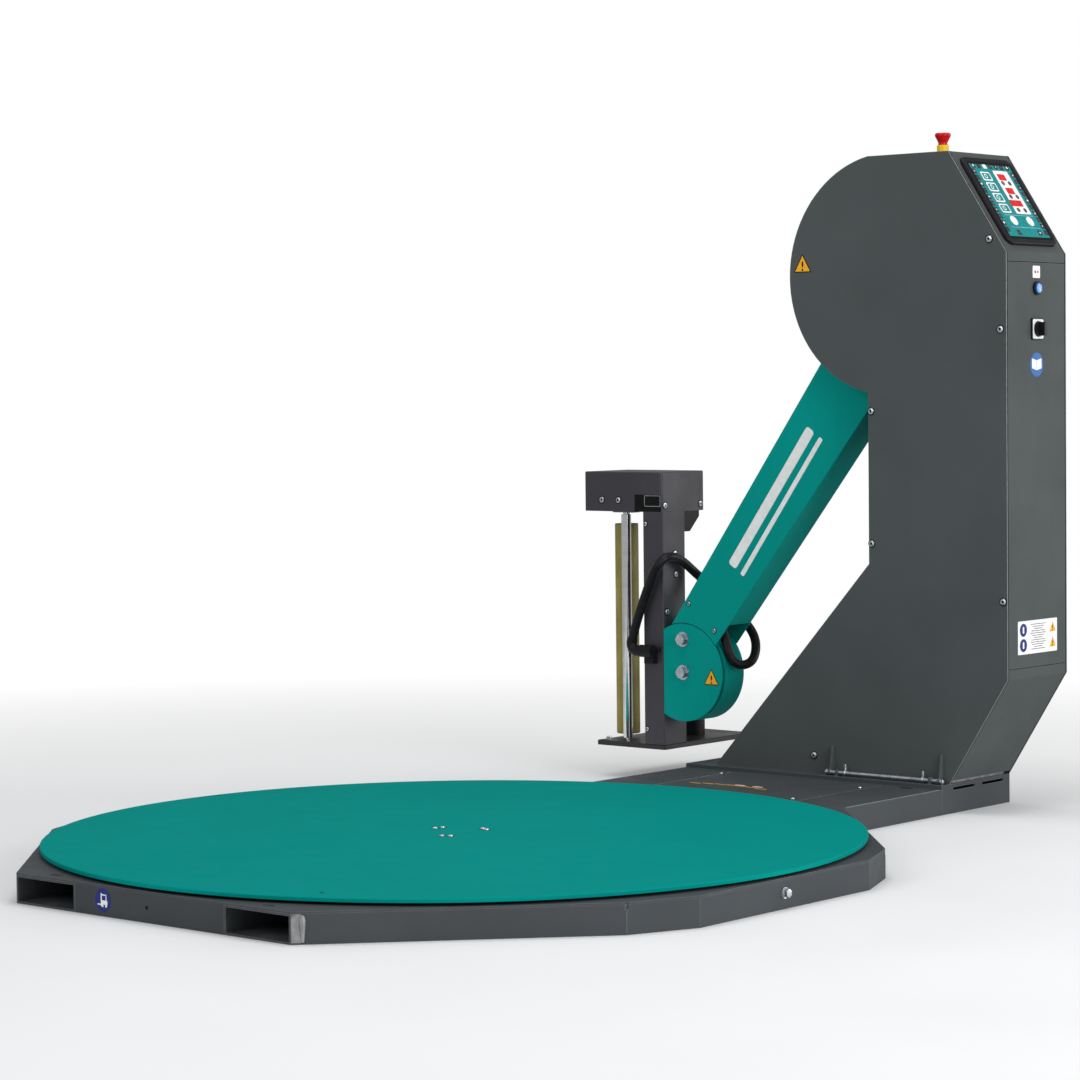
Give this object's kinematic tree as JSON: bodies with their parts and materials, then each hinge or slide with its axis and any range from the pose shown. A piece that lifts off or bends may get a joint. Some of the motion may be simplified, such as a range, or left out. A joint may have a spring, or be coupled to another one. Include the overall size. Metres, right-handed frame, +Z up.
{
  "type": "turntable pallet wrapper",
  "caption": "Turntable pallet wrapper: a round driven table beside a low column whose swinging parallelogram arm lifts a film carriage with rubber and idle rollers.",
  "frame": {"origin": "on the floor under the turntable's axis", "axes": "+Z up, +Y from the turntable towards the column, +X towards the column's console side"},
  "size_m": [1.652, 2.476, 1.5244],
  "materials": {
    "frame_grey": "satin powder coat",
    "steel_raw": "oiled bare steel",
    "zinc": "bright zinc plate",
    "wheel_plastic": "cast nylon",
    "teal_paint": "satin powder coat",
    "panel_grey": "fine matt powder coat",
    "carriage_grey": "fine matt powder coat",
    "black_plastic": "moulded",
    "console_teal": "printed film",
    "stop_red": "moulded",
    "stop_yellow": "moulded",
    "reset_blue": "translucent lens",
    "switch_white": "moulded",
    "motor_grey": "painted casting",
    "electric_grey": "light grey",
    "roller_rubber": "ground polyurethane",
    "roller_chrome": "polished"
  },
  "bodies": {
    "base": {"table_frame": "frame_grey", "fork_tubes": "steel_raw", "frame_bars": "steel_raw", "wheel_ears": "steel_raw", "wheel_pins": "zinc", "extension_tray": "frame_grey", "extension_lid": "frame_grey", "column_base": "frame_grey", "hinge_rod": "zinc", "table_chain": "steel_raw"},
    "turntable": {"turntable_disc": "teal_paint", "table_hub": "steel_raw"},
    "wheel_1": {"support_wheel_1": "wheel_plastic"},
    "wheel_2": {"support_wheel_2": "wheel_plastic"},
    "wheel_3": {"support_wheel_3": "wheel_plastic"},
    "wheel_4": {"support_wheel_4": "wheel_plastic"},
    "wheel_5": {"support_wheel_5": "wheel_plastic"},
    "wheel_6": {"support_wheel_6": "wheel_plastic"},
    "drive_shaft": {"drive_sprocket": "steel_raw"},
    "column": {"front_panel": "panel_grey", "back_panel": "panel_grey", "column_skin": "panel_grey", "rear_door": "panel_grey", "inner_frame": "steel_raw", "tie_anchor": "steel_raw", "table_gearmotor": "motor_grey", "lift_gearmotor": "motor_grey", "lift_chain": "steel_raw", "electrical_plate": "electric_grey", "panel_screws": "zinc", "hinge_brackets": "panel_grey", "console_bezel": "black_plastic", "console_panel": "console_teal", "stop_collar": "stop_yellow", "reset_ring": "black_plastic", "switch_plate": "switch_white"},
    "drive_coupling": {"drive_coupling": "steel_raw"},
    "stop_button": {"stop_button": "stop_red"},
    "reset_button": {"reset_button": "reset_blue"},
    "switch_knob": {"switch_knob": "black_plastic"},
    "lift_shaft": {"lift_sprocket": "steel_raw"},
    "arm": {"arm_shell": "teal_paint", "arm_bars": "steel_raw", "pivot_shaft": "steel_raw", "arm_sprocket": "steel_raw"},
    "tie_rod": {"tie_rod": "steel_raw"},
    "carriage": {"knuckle_housing": "teal_paint", "knuckle_bolts": "zinc", "carriage_base": "carriage_grey", "mast": "carriage_grey", "head_cover": "carriage_grey", "head_plate": "carriage_grey", "roller_brake": "black_plastic", "head_gusset": "black_plastic", "conduit_elbow": "black_plastic", "conduit": "black_plastic"},
    "rubber_roller": {"rubber_sleeve": "roller_rubber", "roller_core": "steel_raw"},
    "idle_roller": {"idle_roller": "roller_chrome"},
    "reel_mandrel": {"reel_mandrel": "black_plastic"}
  },
  "joints": [
    {"name": "turntable_spin", "type": "hinge", "parent": "base", "child": "turntable", "pos_m": [0, 0, 0.072], "axis": [0, 0, 1], "continuous": true},
    {"name": "drive_shaft_spin", "type": "hinge", "parent": "base", "child": "drive_shaft", "pos_m": [0.06, 1.345, 0.038], "axis": [0, 0, 1], "continuous": true},
    {"name": "column_fold", "type": "hinge", "parent": "base", "child": "column", "pos_m": [0, 1.224, 0.073], "axis": [1, 0, 0], "range_deg": [0, 90]},
    {"name": "coupling_spin", "type": "hinge", "parent": "column", "child": "drive_coupling", "pos_m": [0.06, 1.345, 0.08], "axis": [0, 0, 1], "continuous": true},
    {"name": "arm_swing", "type": "hinge", "parent": "column", "child": "arm", "pos_m": [0.202, 1.343, 1.167], "axis": [0, 1, 0], "range_deg": [0, 109]},
    {"name": "lift_shaft_spin", "type": "hinge", "parent": "column", "child": "lift_shaft", "pos_m": [0.285, 1.282, 0.7], "axis": [0, 1, 0], "range_deg": [0, 283.4]},
    {"name": "tie_rod_swing", "type": "hinge", "parent": "column", "child": "tie_rod", "pos_m": [0.202, 1.392, 1.247], "axis": [0, 1, 0], "range_deg": [0, 109]},
    {"name": "carriage_level", "type": "hinge", "parent": "arm", "child": "carriage", "pos_m": [-0.441, 1.343, 0.271], "axis": [0, 1, 0], "range_deg": [-109, 0], "deforming": ["conduit"]},
    {"name": "rubber_roller_spin", "type": "hinge", "parent": "carriage", "child": "rubber_roller", "pos_m": [-0.678, 1.38, 0.363], "axis": [0, 0, 1], "continuous": true},
    {"name": "idle_roller_spin", "type": "hinge", "parent": "carriage", "child": "idle_roller", "pos_m": [-0.635, 1.326, 0.363], "axis": [0, 0, 1], "continuous": true},
    {"name": "reel_spin", "type": "hinge", "parent": "carriage", "child": "reel_mandrel", "pos_m": [-0.606, 1.535, 0.2], "axis": [0, 0, 1], "continuous": true},
    {"name": "stop_press", "type": "slide", "parent": "column", "child": "stop_button", "axis": [0, 0, -1], "range_m": [0, 0.005], "stiffness_N_per_m": 2000},
    {"name": "reset_press", "type": "slide", "parent": "column", "child": "reset_button", "axis": [-1, 0, 0], "range_m": [0, 0.003], "stiffness_N_per_m": 1500},
    {"name": "main_switch_turn", "type": "hinge", "parent": "column", "child": "switch_knob", "pos_m": [0.52, 1.3625, 1.078], "axis": [1, 0, 0], "range_deg": [-90, 0]},
    {"name": "wheel_1_spin", "type": "hinge", "parent": "base", "child": "wheel_1", "pos_m": [0.55426, 0.32, 0.0417], "axis": [0.866, 0.5, 0], "continuous": true},
    {"name": "wheel_2_spin", "type": "hinge", "parent": "base", "child": "wheel_2", "pos_m": [0, 0.64, 0.0417], "axis": [0, 1, 0], "continuous": true},
    {"name": "wheel_3_spin", "type": "hinge", "parent": "base", "child": "wheel_3", "pos_m": [-0.55426, 0.32, 0.0417], "axis": [-0.866, 0.5, 0], "continuous": true},
    {"name": "wheel_4_spin", "type": "hinge", "parent": "base", "child": "wheel_4", "pos_m": [-0.55426, -0.32, 0.0417], "axis": [-0.866, -0.5, 0], "continuous": true},
    {"name": "wheel_5_spin", "type": "hinge", "parent": "base", "child": "wheel_5", "pos_m": [0, -0.64, 0.0417], "axis": [0, -1, 0], "continuous": true},
    {"name": "wheel_6_spin", "type": "hinge", "parent": "base", "child": "wheel_6", "pos_m": [0.55426, -0.32, 0.0417], "axis": [0.866, -0.5, 0], "continuous": true}
  ],
  "couplings": [
    {"joint": "drive_shaft_spin", "follows": "turntable_spin", "ratio": 3.75},
    {"joint": "coupling_spin", "follows": "turntable_spin", "ratio": 3.75},
    {"joint": "tie_rod_swing", "follows": "arm_swing", "ratio": 1},
    {"joint": "carriage_level", "follows": "arm_swing", "ratio": -1},
    {"joint": "lift_shaft_spin", "follows": "arm_swing", "ratio": 2.6},
    {"joint": "wheel_1_spin", "follows": "turntable_spin", "ratio": -29.091},
    {"joint": "wheel_2_spin", "follows": "turntable_spin", "ratio": -29.091},
    {"joint": "wheel_3_spin", "follows": "turntable_spin", "ratio": -29.091},
    {"joint": "wheel_4_spin", "follows": "turntable_spin", "ratio": -29.091},
    {"joint": "wheel_5_spin", "follows": "turntable_spin", "ratio": -29.091},
    {"joint": "wheel_6_spin", "follows": "turntable_spin", "ratio": -29.091}
  ]
}
